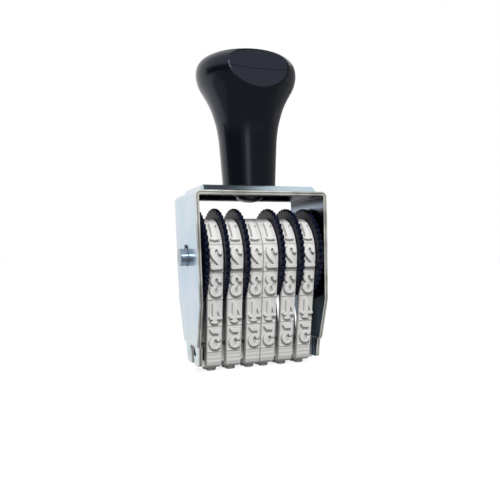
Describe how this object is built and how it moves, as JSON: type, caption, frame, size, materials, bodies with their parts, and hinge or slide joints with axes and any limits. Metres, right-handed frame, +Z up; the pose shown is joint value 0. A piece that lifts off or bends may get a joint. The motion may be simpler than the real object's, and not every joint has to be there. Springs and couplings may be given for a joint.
{
  "type": "numbering machine",
  "caption": "Hand numbering stamp: black knob handle, bent zinc frame, knurled setting wheels on one axle and endless rubber number bands round a lower bridge.",
  "frame": {"origin": "middle of the printing face, on the paper: centre of the stamp's foot print, under the handle's axis", "axes": "+Z up along the handle, +X along the wheel axle to the right seen from the front, -Y towards the front where the digits read upright"},
  "size_m": [0.0306, 0.0198, 0.0635],
  "materials": {
    "zinc_sheet": "bright zinc plated, faintly iridescent",
    "steel_rod": "drawn, satin",
    "spring_steel": "dark oil finish",
    "wheel_plastic": "moulded, satin",
    "band_rubber": "matt moulded rubber",
    "handle_plastic": "polished"
  },
  "bodies": {
    "body": {"frame": "zinc_sheet", "bridge": "zinc_sheet", "axle": "steel_rod", "clip_left": "spring_steel", "clip_right": "spring_steel", "spacer_left": "steel_rod", "spacer_right": "steel_rod", "band_1": "band_rubber", "band_2": "band_rubber", "band_3": "band_rubber", "band_4": "band_rubber", "band_5": "band_rubber", "band_6": "band_rubber", "handle_body": "handle_plastic", "handle_cap": "handle_plastic", "handle_screw": "steel_rod", "screw_washer": "zinc_sheet"},
    "setting_wheel_1": {"wheel_1": "wheel_plastic"},
    "setting_wheel_2": {"wheel_2": "wheel_plastic"},
    "setting_wheel_3": {"wheel_3": "wheel_plastic"},
    "setting_wheel_4": {"wheel_4": "wheel_plastic"},
    "setting_wheel_5": {"wheel_5": "wheel_plastic"},
    "setting_wheel_6": {"wheel_6": "wheel_plastic"}
  },
  "joints": [
    {"name": "wheel_1_turn", "type": "hinge", "parent": "body", "child": "setting_wheel_1", "pos_m": [0, 0, 0.0233], "axis": [1, 0, 0], "continuous": true},
    {"name": "wheel_2_turn", "type": "hinge", "parent": "body", "child": "setting_wheel_2", "pos_m": [0, 0, 0.0233], "axis": [1, 0, 0], "continuous": true},
    {"name": "wheel_3_turn", "type": "hinge", "parent": "body", "child": "setting_wheel_3", "pos_m": [0, 0, 0.0233], "axis": [1, 0, 0], "continuous": true},
    {"name": "wheel_4_turn", "type": "hinge", "parent": "body", "child": "setting_wheel_4", "pos_m": [0, 0, 0.0233], "axis": [1, 0, 0], "continuous": true},
    {"name": "wheel_5_turn", "type": "hinge", "parent": "body", "child": "setting_wheel_5", "pos_m": [0, 0, 0.0233], "axis": [1, 0, 0], "continuous": true},
    {"name": "wheel_6_turn", "type": "hinge", "parent": "body", "child": "setting_wheel_6", "pos_m": [0, 0, 0.0233], "axis": [1, 0, 0], "continuous": true}
  ]
}
